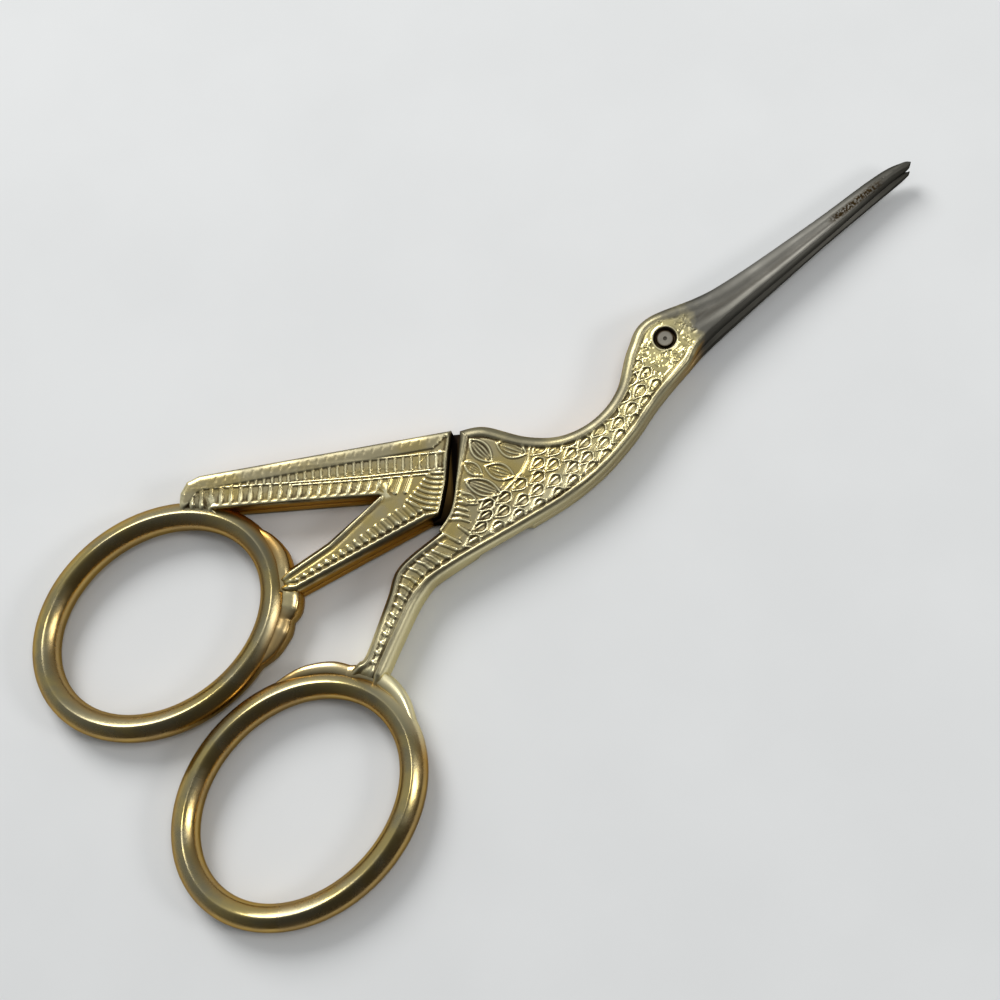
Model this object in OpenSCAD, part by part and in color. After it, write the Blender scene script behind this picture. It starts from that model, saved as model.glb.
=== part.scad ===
// Stork embroidery scissors: two forged halves that cross flat on flat and turn on one slotted screw.
// Origin on the screw's axis in the plane the closed scissors lie on, +X along the blades, +Z up.

/* [Overall] */
// Thickness of the closed scissors over the bird's body
thick = 4.4; // [3.8:0.1:6]
// Gap between the two halves on their flat sides
mate_gap = 0.04; // [0.02:0.01:0.1]

/* [Blades] */
// Pivot to the tip of the front blade
blade_len = 35; // [28:0.5:42]
// Pivot to the place where the beak has its full blade width
blade_root = 8; // [7:0.5:11]
// Width of a blade at that place
blade_w_root = 4; // [3.4:0.1:5]
// Width of a blade just behind its tip
blade_w_end = 1.7; // [1.4:0.1:2.4]
// Front cutting edge below the pivot at the blade's root
edge_low_root = 2.95; // [2.4:0.05:3.4]
// Tip below the pivot
tip_low = 2.35; // [1.6:0.05:3]
// Thickness of each blade at its tip
tip_thick = 1.15; // [0.9:0.05:1.6]
// Thickness of the cutting edge
edge_thick = 0.3; // [0.2:0.05:0.6]
// Width of the ground slope beside the cutting edge
grind_w = 1; // [0.5:0.1:1.2]
// How much shorter the rear blade is
rear_short = 0.8; // [0:0.1:2]
// How far the rear blade's back shows below the front cutting edge
rear_peep = 0.25; // [0:0.05:0.5]

/* [Head and neck] */
// Pivot to the crown of the head
crown = 3.35; // [3:0.05:4]
// Pivot to the throat
throat = 4; // [3.4:0.1:4.6]
// Pivot to the lowest place of the nape, along the blades
nape_x = 12; // [10:0.5:14]
// The nape's hollow below the pivot
nape_low = 1.75; // [1.2:0.05:2.4]
// Pivot to the deepest place of the breast, along the blades
breast_x = 17.5; // [15:0.5:20]
// Depth of the breast below the pivot
breast_low = 7.15; // [6.4:0.05:8]

/* [Body and tail] */
// Pivot to the shoulder, along the blades
shoulder_x = 24.4; // [23:0.2:26]
// Height of the shoulder above the pivot line
shoulder_y = 7.3; // [6.6:0.1:8]
// Slope of the tail's upper edge, in degrees
tail_slope = 30.6; // [29:0.2:32]
// Pivot to the rounded end of the tail, along the blades
tail_x = 52; // [51:0.2:53]
// Width of the tail across its end
tail_w_end = 4.6; // [4:0.1:5.4]
// Slope of the tail's lower edge, in degrees
tail_lower_slope = 36.6; // [35.5:0.2:37.6]
// Pivot to the crotch between the two legs, along the blades
crotch_x = 33.6; // [33:0.1:34.4]
// Depth of the crotch below the pivot
crotch_low = 0.3; // [0:0.05:0.6]
// Gap that shows beside the front body and beside the rear body
seam_gap = 1; // [0.6:0.1:1.4]

/* [Legs] */
// Top of the rear leg above the pivot line where it starts
leg1_top = 6.4; // [6:0.1:6.8]
// Pivot to the rear leg's foot, along the blades
foot1_x = 50; // [49.6:0.1:50.4]
// Lower side of the rear leg's foot above the pivot line
foot1_y = 4.8; // [4.5:0.1:5.1]
// Width of the rear leg at its foot
leg1_w_foot = 3; // [2.4:0.1:3.4]
// Rise of the rear leg's lower side from crotch to foot
leg1_rise = 3.6; // [3.2:0.1:4]
// Width of the front leg at its knee
leg2_w_knee = 4.4; // [4:0.1:4.9]
// Width of the front leg at its foot
leg2_w_foot = 2.9; // [2.4:0.1:3.3]
// Pivot to the front leg's knee, along the blades
knee_x = 39.5; // [38:0.5:41]
// Pivot to the front leg's foot, along the blades
foot2_x = 48.4; // [48:0.1:48.8]
// Upper side of the front leg's foot below the pivot line
foot2_low = 5.6; // [5.4:0.1:5.8]
// Pivot to the front corner of the window between tail and leg, along the blades
window_x = 36; // [35.5:0.1:37]
// Recess of the toes below both faces
toe_low = 0.7; // [0.5:0.1:1]

/* [Finger rings] */
// Pivot to the ring centres, along the blades
ring_x = 64.3; // [63.8:0.1:65]
// Ring centres above and below the pivot line
ring_y = 13.1; // [13.1:0.1:13.8]
// Half of the ring's length, to the middle of its bar
ring_a = 14.1; // [13.6:0.1:14.6]
// Half of the ring's width, to the middle of its bar
ring_b = 11.1; // [10.4:0.1:11.2]
// Turn of the rings, in degrees
ring_turn = 4.8; // [3:0.2:6]
// Width of the ring's bar
bar_w = 3.1; // [2.6:0.1:3.3]
// Height of the ring's bar
bar_h = 4; // [3.4:0.1:4.4]
// Width of the crest on the ring's bar
crest_w = 0.5; // [0.3:0.1:1]

/* [Pivot screw] */
// Diameter of the shank that the rear half turns on
shank_d = 3; // [2.6:0.1:3.2]
// Diameter of the threaded end
thread_d = 1.8; // [1.6:0.1:2]
// Diameter of the screw's head
head_d = 4.4; // [4:0.1:4.8]
// Thickness of the screw's head
head_t = 0.8; // [0.6:0.05:1]
// Width of the screwdriver slot
slot_w = 0.5; // [0.4:0.05:0.7]
// Depth of the screwdriver slot
slot_deep = 0.35; // [0.25:0.05:0.45]
// Diameter of the recess around the threaded end, which makes the bird's eye
eye_d = 2.6; // [2.4:0.1:3]
// Depth of that recess
eye_deep = 0.75; // [0.5:0.05:1]
// Depth of the threaded end below the face
end_low = 0.2; // [0.1:0.05:0.4]
// Diameter of the centre mark in the threaded end
mark_d = 0.5; // [0.4:0.05:0.7]
// Clearance around the turning shank
run_clear = 0.04; // [0.02:0.01:0.09]
// Clearance around the threaded end
thread_clear = 0.02; // [0.01:0.01:0.05]
// Clearance around the screw's head
head_clear = 0.15; // [0.1:0.05:0.2]

/* [Edges] */
// Width of the softened edge round the bird
soft_w = 0.6; // [0.3:0.1:0.8]
// Drop of the softened edge round the bird
soft_d = 0.6; // [0.3:0.1:0.9]
// Step that the forging leaves at the parting plane
part_step = 0.06; // [0.03:0.01:0.12]
// Width of the slanted border along the tail's upper edge
tail_border = 1.3; // [0.8:0.1:1.6]

/* [Hidden] */
$fn = 64;
steel = [0.62, 0.63, 0.62];
gilt = [0.78, 0.68, 0.42];
span_steps = 5;
ring_steps = 72;
mid = thick/2;
half_gap = mate_gap/2;
lap = 0.2;
through = 1;
back_w = 0.4*soft_w;
edge_w = 0.2*soft_w;
tip_w = 0.1*soft_w;

// A point part of the way from p to q: t along X and s along Y
function way(p, q, t, s) = [p.x + (q.x - p.x)*t, p.y + (q.y - p.y)*s];
// Outline points with the width over which the edge rounds there
function edged(points, w) = [for (p = points) [p.x, p.y, w]];
// One point on the smooth curve from b to c
function curve_point(a, b, c, d, t) =
    0.5*(2*b + (c - a)*t + (2*a - 5*b + 4*c - d)*t*t + (3*b - a - 3*c + d)*t*t*t);
// Smooth curve through all the points, without its last point
function curve(p) = let (last = len(p) - 1) [
    for (i = [0:last - 1], k = [0:span_steps - 1])
        curve_point(p[max(i - 1, 0)], p[i], p[i + 1], p[min(i + 2, last)], k/span_steps)
];
function unit(v) = v/norm(v);
function inward(a, b) = let (d = unit([b.x - a.x, b.y - a.y])) [-d.y, d.x];
// The outline shrunk by d and by a share of each point's own edge width
function shrink(p, d, share) = let (n = len(p)) [
    for (i = [0:n - 1])
        let (
            a = inward(p[(i + n - 1) % n], p[i]), b = inward(p[i], p[(i + 1) % n]),
            e = p[i][2], lean = min(d, e/2) + share*e
        )
        [p[i].x, p[i].y] + lean*(a + b)/max(1 + a*b, 0.5)
];
module slab(points, z_a, z_b) {
    translate([0, 0, min(z_a, z_b)]) linear_extrude(abs(z_b - z_a)) polygon(points);
}
// A plate with a flat inner side at z_flat and an edge that rounds over in three tiers to z_face
module forged(p, z_flat, z_face, d = 0) {
    drop = z_face > z_flat ? soft_d : -soft_d;
    slab(shrink(p, d, 0), z_flat, z_face - drop);
    slab(shrink(p, d, 0.3), z_flat, z_face - 0.35*drop);
    slab(shrink(p, d, 1), z_flat, z_face);
}

// Key points of the outlines
crown_p = [0, crown];
throat_p = [0, -throat];
nape_p = [-nape_x, -nape_low];
breast_p = [-breast_x, -breast_low];
shoulder_p = [-shoulder_x, shoulder_y];
crotch_p = [-crotch_x, -crotch_low];
knee_p = [-knee_x, -crotch_low - 0.05];
belly_p = [crotch_p.x - 2, knee_p.y - leg2_w_knee + 0.3];
foot2_p = [-foot2_x, -foot2_low];
tail_end_y = shoulder_y + 0.4 + (tail_x - shoulder_x - 1)*tan(tail_slope);
tail_end_p = [-tail_x, tail_end_y];
tail_low_p = [-tail_x + 0.4, tail_end_y - tail_w_end];
foot1_p = [-foot1_x, foot1_y];
window_top = [-window_x, tail_low_p.y - (-window_x - tail_low_p.x)*tan(tail_lower_slope)];
leg1_start = [-crotch_x + 1.2, foot1_p.y - leg1_rise];

// A point of a ring's middle line: side 1 is the upper ring, -1 the lower one, t is in degrees
function ring_point(side, t) =
    let (x = ring_a*cos(t), y = ring_b*sin(t), c = cos(ring_turn), s = sin(ring_turn))
    [-ring_x + x*c + y*s, side*(ring_y - x*s + y*c)];

// Upper side of the bird from head to shoulder, the same on both halves
function nape_line() = edged([
    crown_p, way(crown_p, nape_p, 0.33, 0.27), way(crown_p, nape_p, 0.67, 0.83), nape_p,
    way(nape_p, shoulder_p, 0.32, 0.1), way(nape_p, shoulder_p, 0.57, 0.38),
    way(nape_p, shoulder_p, 0.8, 0.83), shoulder_p
], soft_w);
// Lower side of the bird from breast to throat, the same on both halves
function breast_line() = edged([
    way(breast_p, belly_p, 0.42, 0.32), breast_p + [-2.5, 0.1], breast_p + [2.5, 0.05],
    way(breast_p, throat_p, 0.43, 0.27), way(breast_p, throat_p, 0.71, 0.7), throat_p
], soft_w);

// Back and edge of the front blade, and its tip
function blade_back() = concat(
    edged([[blade_len, -tip_low], [blade_len - 0.8, 0.35*blade_w_end - tip_low]], tip_w),
    edged([
        [blade_len - 4, 0.9*blade_w_end - tip_low], [0.6*blade_len, 0.68*blade_w_root - edge_low_root],
        [blade_root, blade_w_root - edge_low_root]
    ], back_w)
);
function blade_edge() = concat(
    edged([[blade_root - 3, -edge_low_root]], edge_w),
    edged([[0.6*blade_len, -edge_low_root + 0.2]], edge_w),
    edged([[blade_len - 4, -tip_low - 0.2]], edge_w),
    edged([[blade_len - 0.8, -tip_low - 0.3], [blade_len, -tip_low]], tip_w)
);
// The rear blade mirrors the front one: its back is below and its edge is hidden above
rear_len = blade_len - rear_short;
rear_back_y = -edge_low_root - rear_peep;
rear_tip_p = [rear_len, -tip_low - 0.35];
rear_root_y = blade_w_root - edge_low_root - 0.3;
function rear_edge() = concat(
    edged([rear_tip_p, rear_tip_p + [-1, 0.55]], tip_w),
    edged([[rear_len - 4, 0.75*blade_w_end - tip_low]], edge_w),
    edged([
        [0.6*blade_len, 0.68*blade_w_root - edge_low_root - 0.3], [blade_root, rear_root_y]
    ], edge_w)
);
function rear_back() = concat(
    edged([[blade_root - 3, rear_back_y - 0.3], [0.6*blade_len, rear_back_y + 0.1]], back_w),
    edged([rear_tip_p + [-1, -0.35], rear_tip_p], tip_w)
);

// Boundary of the front body beside the tail, from the shoulder to the crotch
function front_seam() = edged([
    shoulder_p, way(shoulder_p, crotch_p, 0.42, 0.56), way(shoulder_p, crotch_p, 0.72, 0.88), crotch_p
], soft_w);
// Upper and lower side of the front leg
function leg2_upper() = edged([crotch_p, knee_p, way(knee_p, foot2_p, 0.38, 0.38), foot2_p,
    foot2_p + [-1.2, -0.2]], soft_w);
function leg2_lower() = edged([
    foot2_p + [0.9, -leg2_w_foot], way(foot2_p, knee_p, 0.38, 0.38) + [0.4, -0.78*leg2_w_knee],
    knee_p + [0, -leg2_w_knee], belly_p
], soft_w);
function foot2_in_ring() = edged([ring_point(-1, -32), ring_point(-1, -12)], soft_w);

front_low = curve(concat(leg2_lower(), breast_line(), blade_edge()));

function front_outline() = concat(
    curve(concat(blade_back(), nape_line())), curve(front_seam()), curve(leg2_upper()),
    foot2_in_ring(), front_low
);

// Boundary of the rear body beside the front leg, from the crotch to the breast
rear_seam_end = way(breast_p, belly_p, 0.4, 0.3);
rear_crotch = way(leg1_start, foot1_p, 0.07, 0.07);
function rear_seam() = edged([
    rear_crotch, way(rear_crotch, rear_seam_end, 0.25, 0.2), way(rear_crotch, rear_seam_end, 0.65, 0.66),
    rear_seam_end
], soft_w);
function leg2_under() = concat(
    curve(leg2_upper()), foot2_in_ring(), [for (i = [0:3*span_steps]) front_low[i]],
    edged([for (q = [belly_p + [4.2, 0.5], way(rear_seam_end, rear_crotch, 0.45, 0.42)])
        q + seam_gap*[-0.62, -0.78]], back_w)
);

// Upper edge of the tail, its round end and the stretch that lies inside the ring
function tail_line() = edged([
    shoulder_p + [-0.7, 0.55], tail_end_p + [1.6, -0.4], tail_end_p, tail_end_p + [-1.4, -0.6],
    ring_point(1, 52)
], soft_w);
function inside_ring() = edged([for (t = [36, 18, 0, -14, -28]) ring_point(1, t)], soft_w);
function leg1_lower() = edged([foot1_p, rear_crotch, leg1_start], soft_w);

function rear_outline() = concat(
    curve(concat(rear_edge(), nape_line())), tail_line(), inside_ring(), edged([foot1_p], soft_w),
    curve(rear_seam()), curve(concat(breast_line(), rear_back()))
);
// The part of the rear half that is as thick as the whole bird: tail and leg
function tail_outline() = concat(
    edged([shoulder_p + [-1.1, -0.4] + seam_gap*[-0.3, 0.3]], soft_w), tail_line(), inside_ring(),
    leg1_lower(),
    edged([for (s = [[0.73, 0.85], [0.45, 0.57], [0.2, 0.25]])
        way(shoulder_p, crotch_p, s[0], s[1]) + seam_gap*[-0.74, 0.68]], soft_w)
);

// Triangular window between tail, leg and ring
function window_outline() = [
    [-ring_x + ring_a - 1, window_top.y + (ring_x - ring_a + 1 + window_top.x)*tan(tail_lower_slope)],
    [-ring_x + ring_a - 1, foot1_p.y + leg1_w_foot],
    way(foot1_p, window_top, 0.43, 0) + [0, leg1_w_foot - 0.6],
    [window_top.x, leg1_top]
];
module window() {
    translate([0, 0, -through]) linear_extrude(thick + 2*through) polygon(window_outline());
}

// Roof-shaped section of a ring's bar, x outwards and y up
function bar_section() =
    let (w = bar_w/2, h = bar_h/2, corner = [[w, 0.25*h], [0.82*w, 0.62*h], [crest_w/2, h]])
    concat(
        corner, [for (i = [2:-1:0]) [-corner[i].x, corner[i].y]],
        [for (i = [0:2]) [-corner[i].x, -corner[i].y]], [for (i = [2:-1:0]) [corner[i].x, -corner[i].y]]
    );
// Oval ring: the section carried round an ellipse, square to its middle line
module finger_ring(side) {
    section = bar_section();
    n = len(section);
    points = [
        for (k = [0:ring_steps - 1])
            let (t = 360*k/ring_steps, out = unit([ring_b*cos(t), ring_a*sin(t)]))
            for (q = section) [ring_a*cos(t) + q.x*out.x, ring_b*sin(t) + q.x*out.y, q.y]
    ];
    faces = [
        for (k = [0:ring_steps - 1], i = [0:n - 1])
            let (a = k*n, b = ((k + 1) % ring_steps)*n, j = (i + 1) % n)
            each [[a + i, a + j, b + j], [a + i, b + j, b + i]]
    ];
    translate([-ring_x, side*ring_y, mid]) rotate([0, 0, -side*ring_turn]) polyhedron(points, faces);
}

// Small pads that stand for the bird's toes on the outside of a ring
module toes(points) {
    translate([0, 0, toe_low]) linear_extrude(thick - 2*toe_low) polygon(points);
}
module front_toes() {
    toes([
        ring_point(-1, -30), foot2_p + [0.5, -0.8], foot2_p + [-0.7, 0.3], foot2_p + [-2.2, 0.8],
        foot2_p + [-4, 1.6], ring_point(-1, -52)
    ]);
    toes([
        ring_point(-1, 16), foot2_p + [0.5, -6], foot2_p + [1.1, -4.2], foot2_p + [0, -2.6],
        ring_point(-1, -14)
    ]);
}
module rear_toes() {
    toes([
        ring_point(1, -18), foot1_p + [-0.2, 2.6], foot1_p + [1.5, 2.6], foot1_p + [1.4, 4.4],
        foot1_p + [0.7, 6.4], ring_point(1, 0)
    ]);
    toes([
        ring_point(1, -48), foot1_p + [-3.2, -2.1], foot1_p + [-0.8, -1.8], foot1_p + [1, -0.1],
        foot1_p + [0.4, 0.9], ring_point(1, -28)
    ]);
}

// Wedge that thins a blade from the head to its tip: side 1 for the front face, -1 for the rear one
taper = atan((mid - tip_thick)/(blade_len - blade_root + 4));
module thin_blade(side) {
    translate([blade_root - 4, -10, mid + side*mid])
        rotate([0, side*taper, 0])
            translate([-crown, 0, side > 0 ? 0 : -thick]) cube([2*blade_len, 20, thick]);
}
// Ground slope beside a cutting edge that runs from a towards b and keeps edge_thick at the edge
grind = atan((mid - half_gap - edge_thick)/grind_w);
module grind_edge(a, b, side) {
    flip = side > 0 ? 0 : 1;
    translate([a.x, a.y, mid + side*(half_gap + edge_thick)])
        rotate([0, 0, atan2(b.y - a.y, b.x - a.x)])
            mirror([0, flip, 0]) mirror([0, 0, flip])
                rotate([grind, 0, 0]) translate([0, -through, 0]) cube([2*blade_len, 3*thick, thick]);
}
// Slanted border along the tail's upper edge
module slant_tail() {
    translate([-shoulder_x, shoulder_y + 0.5, thick - soft_d])
        rotate([0, 0, 180 - tail_slope])
            rotate([atan(soft_d/tail_border), 0, 0])
                translate([0, -through, 0]) cube([tail_x - shoulder_x + 4, 3*thick, thick]);
}

module front_half() {
    color(gilt) difference() {
        union() {
            forged(front_outline(), mid + half_gap, thick);
            forged(leg2_under(), mid + half_gap + lap, 0, part_step);
            finger_ring(-1);
            front_toes();
        }
        thin_blade(1);
        grind_edge([blade_root - 3, -edge_low_root], [blade_len, -tip_low - 0.3], 1);
        translate([0, 0, -through]) cylinder(h = thick + 2*through, d = thread_d + 2*thread_clear);
        translate([0, 0, thick - eye_deep]) cylinder(h = eye_deep + through, d = eye_d);
    }
}

module rear_half() {
    color(gilt) difference() {
        union() {
            difference() {
                union() {
                    forged(rear_outline(), mid - half_gap, 0);
                    forged(tail_outline(), mid - half_gap - lap, thick, part_step);
                }
                window();
            }
            finger_ring(1);
            rear_toes();
        }
        thin_blade(-1);
        grind_edge([blade_root, rear_root_y], rear_tip_p + [-1, 0.55], -1);
        slant_tail();
        translate([0, 0, -through]) cylinder(h = thick + 2*through, d = shank_d + 2*run_clear);
        translate([0, 0, -through]) cylinder(h = head_t + through, d = head_d + 2*head_clear);
    }
}

// Slotted head below, shank in the rear half, threaded end in the front half
module pivot_screw() {
    seat = mid + half_gap;
    end_z = thick - end_low;
    color(steel) difference() {
        union() {
            cylinder(h = head_t, d = head_d);
            cylinder(h = seat, d = shank_d);
            cylinder(h = end_z, d = thread_d);
        }
        translate([-head_d, -slot_w/2, -through]) cube([2*head_d, slot_w, slot_deep + through]);
        translate([0, 0, end_z - mark_d/2]) cylinder(h = mark_d, d1 = 0, d2 = 2*mark_d);
    }
}

front_half();
rear_half();
pivot_screw();
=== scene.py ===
import bmesh
import bpy
import math
import numpy as np
from mathutils import Matrix, Vector
from mathutils.geometry import delaunay_2d_cdt
from mathutils.kdtree import KDTree


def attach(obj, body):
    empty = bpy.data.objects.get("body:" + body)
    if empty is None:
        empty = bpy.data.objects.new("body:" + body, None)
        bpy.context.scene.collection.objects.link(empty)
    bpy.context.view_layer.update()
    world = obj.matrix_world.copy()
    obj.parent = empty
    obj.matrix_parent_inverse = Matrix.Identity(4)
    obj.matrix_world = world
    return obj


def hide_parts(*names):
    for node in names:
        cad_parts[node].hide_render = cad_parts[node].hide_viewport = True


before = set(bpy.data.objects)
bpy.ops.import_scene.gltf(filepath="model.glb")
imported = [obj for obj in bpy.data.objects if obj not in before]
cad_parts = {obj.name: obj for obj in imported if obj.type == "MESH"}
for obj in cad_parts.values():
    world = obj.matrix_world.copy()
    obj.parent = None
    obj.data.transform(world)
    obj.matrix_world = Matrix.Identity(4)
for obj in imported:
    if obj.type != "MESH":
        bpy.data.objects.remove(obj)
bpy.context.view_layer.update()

mm = 0.001
scene = bpy.context.scene
print("stage: frame loaded")

# sizes of the bird's body, in millimetres as in the CAD
body = {
    "thick": 4.4, "mid": 2.2, "gap": 0.02, "lap": 0.25,
    "crown": (0, 3.35), "throat": (0, -4), "nape": (-12, -1.75), "breast": (-17.5, -7.15),
    "shoulder": (-24.4, 7.3), "crotch": (-33.6, -0.3), "knee": (-39.5, -0.35), "belly": (-35.6, -4.45),
    "foot1": (-50, 4.8), "foot2": (-48.4, -5.6), "tailEnd": (-52, 23.42), "tailLow": (-51.6, 18.82),
    "windowTop": (-36, 7.24), "leg1Start": (-32.4, 1.2), "leg1Foot": 3,
    "leg2Knee": 4.4, "leg2Foot": 2.9, "seam": 1.0, "partStep": 0.05,
}
blade = {
    "long": 35, "root": 8, "rootWide": 4, "endWide": 1.7, "edgeLow": 2.95, "tipLow": 2.35,
    "edgeThick": 0.3, "rearShort": 0.8, "rearPeep": 0.25, "taperFrom": 4, "taper": 0.0339,
    # the shallow valley along it: its middle, depth and half width at some places along x
    "valleyAt": (1, 3, 8, 14, 22, 30, 35), "valleyY": (-0.3, -0.6, -1.45, -1.75, -1.95, -2.05, -2.3),
    "deepAt": (1, 4, 10, 26, 32), "deep": (0, 0.16, 0.26, 0.2, 0),
    "halfAt": (2, 10, 30), "half": (1.4, 0.95, 0.6),
}
ring = {
    "x": 64.3, "y": 13.1, "a": 14.1, "b": 11.1, "turn": 4.8, "steps": 180,
    # the faces dip towards the bar; under the tail the dip is shorter than at the legs
    "dipDeep": 1.0, "dipWide": 1.9, "legDip": 2.3, "tailDip": 1.1, "tailFrom": 15,
}
# how the edge of a face is worked, by the distance inwards from the outline: slope width,
# slope drop, 1 round or 0 straight, lip height, lip end, groove middle, step down,
# groove depth, and where the ornament may begin
edgeStyle = {
    "spine": (1.5, 1.0, 1, 0, 1.6, 1.8, 0, 0, 1.6),
    "ground": (0.3, 1.2, 0, 0, 0.5, 1, 0, 0, 0.5),
    "point": (0.3, 0.3, 1, 0, 0.4, 1, 0, 0, 0.4),
    "nape": (1.15, 0.95, 1, 0, 1.15, 1.35, 0.15, 0.06, 1.15),
    "seam": (0.14, 0.14, 1, 0, 0.2, 0.4, 0.17, 0.03, 0.2),
    "shin": (0.6, 0.95, 0.15, 0.1, 0.85, 1.1, 0.18, 0.06, 0.85),
    "bead": (0.72, 0.85, 0.9, 0, 0.64, 0.94, 0.2, 0.2, 0.64),
    "shinBead": (1.05, 1.25, 1, 0, 0.98, 1.24, 0.2, 0.16, 0.98),
    "throat": (0.7, 0.6, 1, 0, 0.7, 0.95, 0.12, 0.08, 0.7),
    "tailTop": (0.9, 0.35, 1, 0, 1.6, 2.3, 0.14, 0, 0.4),
    "tailLow": (0.16, 0.2, 1, 0, 0.3, 0.6, 0.16, 0, 0.3),
    "hidden": (0.3, 0.3, 1, 0, 0.4, 0.6, 0.16, 0, 0.4),
}


def way(p, q, t, s):
    return (p[0] + (q[0] - p[0]) * t, p[1] + (q[1] - p[1]) * s)


def off(p, dx, dy):
    return (p[0] + dx, p[1] + dy)


def styled(points, *names):
    # each point takes its own style, and the last name goes on to the end
    out = []
    for i, p in enumerate(points):
        name = names[min(i, len(names) - 1)]
        out.append(tuple(p) + edgeStyle[name])
    return out


def smooth(points, steps=12):
    # the smooth curve through the points, without the last one
    p = np.array(points, float)
    out = []
    last = len(p) - 1
    for i in range(last):
        a, b, c, d = p[max(i - 1, 0)], p[i], p[i + 1], p[min(i + 2, last)]
        for k in range(steps):
            t = k / steps
            xy = 0.5 * (2 * b + (c - a) * t + (2 * a - 5 * b + 4 * c - d) * t * t
                        + (3 * b - a - 3 * c + d) * t ** 3)
            row = b + (c - b) * t
            row[:2] = xy[:2]
            out.append(tuple(row))
    return out


def ringPoint(side, deg, out=0.0):
    # a place on a ring's middle line, or that far outside it
    t, turn = math.radians(deg), math.radians(ring["turn"])
    nx, ny = ring["b"] * math.cos(t), ring["a"] * math.sin(t)
    n = math.hypot(nx, ny)
    x, y = ring["a"] * math.cos(t) + nx / n * out, ring["b"] * math.sin(t) + ny / n * out
    c, s = math.cos(turn), math.sin(turn)
    return (-ring["x"] + x * c + y * s, side * (ring["y"] - x * s + y * c))


def ringGap(side, xy):
    # how far points lie outside the ring's middle line, near it
    turn = -side * math.radians(ring["turn"])
    c, s = math.cos(turn), math.sin(turn)
    x, y = xy[:, 0] + ring["x"], xy[:, 1] - side * ring["y"]
    u, v = (x * c + y * s) / ring["a"], (-x * s + y * c) / ring["b"]
    r = np.hypot(u, v)
    slope = np.hypot(u / ring["a"], v / ring["b"]) / np.maximum(r, 1e-6)
    return (r - 1) / np.maximum(slope, 1e-6)


def napeLine():
    b = body
    crown, nape, shoulder = b["crown"], b["nape"], b["shoulder"]
    points = [crown, way(crown, nape, 0.33, 0.27), way(crown, nape, 0.67, 0.83), nape,
              way(nape, shoulder, 0.32, 0.1), way(nape, shoulder, 0.57, 0.38),
              way(nape, shoulder, 0.8, 0.83), shoulder]
    return styled(points, "nape")


def breastLine():
    b = body
    breast, throat = b["breast"], b["throat"]
    points = [way(breast, b["belly"], 0.42, 0.32), off(breast, -2.5, 0.1), off(breast, 2.5, 0.05),
              way(breast, throat, 0.43, 0.27), way(breast, throat, 0.71, 0.7), throat]
    return styled(points, "bead", "bead", "bead", "bead", "bead", "throat")


def frontBladeBack():
    k = blade
    points = [(k["long"], -k["tipLow"]), (k["long"] - 0.8, 0.35 * k["endWide"] - k["tipLow"]),
              (k["long"] - 4, 0.9 * k["endWide"] - k["tipLow"]),
              (0.6 * k["long"], 0.68 * k["rootWide"] - k["edgeLow"]),
              (k["root"], k["rootWide"] - k["edgeLow"])]
    return styled(points, "point", "point", "spine")


def groundDrop(x):
    # from the blade's face down to its cutting edge
    taper = max(0, x - blade["taperFrom"]) * blade["taper"]
    return body["mid"] - body["gap"] - blade["edgeThick"] - taper


def frontBladeEdge():
    k = blade
    points = [(k["root"] - 3, -k["edgeLow"]), (0.6 * k["long"], -k["edgeLow"] + 0.2),
              (k["long"] - 4, -k["tipLow"] - 0.2), (k["long"] - 0.8, -k["tipLow"] - 0.3),
              (k["long"], -k["tipLow"])]
    rows = styled(points, "ground", "ground", "ground", "point", "point")
    return [row[:3] + (groundDrop(row[0]),) + row[4:] if i < 3 else row for i, row in enumerate(rows)]


rearLong = blade["long"] - blade["rearShort"]
rearTip = (rearLong, -blade["tipLow"] - 0.35)
rearBackY = -blade["edgeLow"] - blade["rearPeep"]


def rearBladeEdge():
    k = blade
    points = [rearTip, off(rearTip, -1, 0.55), (rearLong - 4, 0.75 * k["endWide"] - k["tipLow"]),
              (0.6 * k["long"], 0.68 * k["rootWide"] - k["edgeLow"] - 0.3),
              (k["root"], k["rootWide"] - k["edgeLow"] - 0.3)]
    return styled(points, "point", "point", "ground")


def rearBladeBack():
    k = blade
    points = [(k["root"] - 3, rearBackY - 0.3), (0.6 * k["long"], rearBackY + 0.1),
              off(rearTip, -1, -0.35), rearTip]
    return styled(points, "spine", "spine", "point", "point")


def leg2Upper():
    b = body
    knee, foot = b["knee"], b["foot2"]
    return styled([b["crotch"], knee, way(knee, foot, 0.38, 0.38), foot, off(foot, -1.2, -0.2)],
                  "shin")


def leg2Lower():
    b = body
    knee, foot = b["knee"], b["foot2"]
    shin = way(foot, knee, 0.38, 0.38)
    points = [off(foot, 0.9, -b["leg2Foot"]), off(shin, 0.4, -0.78 * b["leg2Knee"]),
              off(knee, 0, -b["leg2Knee"]), b["belly"]]
    return styled(points, "shinBead", "shinBead", "shinBead", "bead")


def footInRing():
    return styled([ringPoint(-1, -32), ringPoint(-1, -12)], "hidden")


frontLow = smooth(leg2Lower() + breastLine() + frontBladeEdge())


def frontOutline():
    b = body
    seam = [b["shoulder"], way(b["shoulder"], b["crotch"], 0.42, 0.56),
            way(b["shoulder"], b["crotch"], 0.72, 0.88), b["crotch"]]
    return (smooth(frontBladeBack() + napeLine()) + smooth(styled(seam, "nape", "seam"))
            + smooth(leg2Upper()) + footInRing() + frontLow)


rearSeamEnd = way(body["breast"], body["belly"], 0.4, 0.3)
rearCrotch = way(body["leg1Start"], body["foot1"], 0.07, 0.07)


def leg2Under():
    s = body["seam"]
    inner = [off(body["belly"], 4.2, 0.5), way(rearSeamEnd, rearCrotch, 0.45, 0.42)]
    inner = [off(q, -0.62 * s, -0.78 * s) for q in inner]
    return smooth(leg2Upper()) + footInRing() + frontLow[:37] + styled(inner, "seam")


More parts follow.
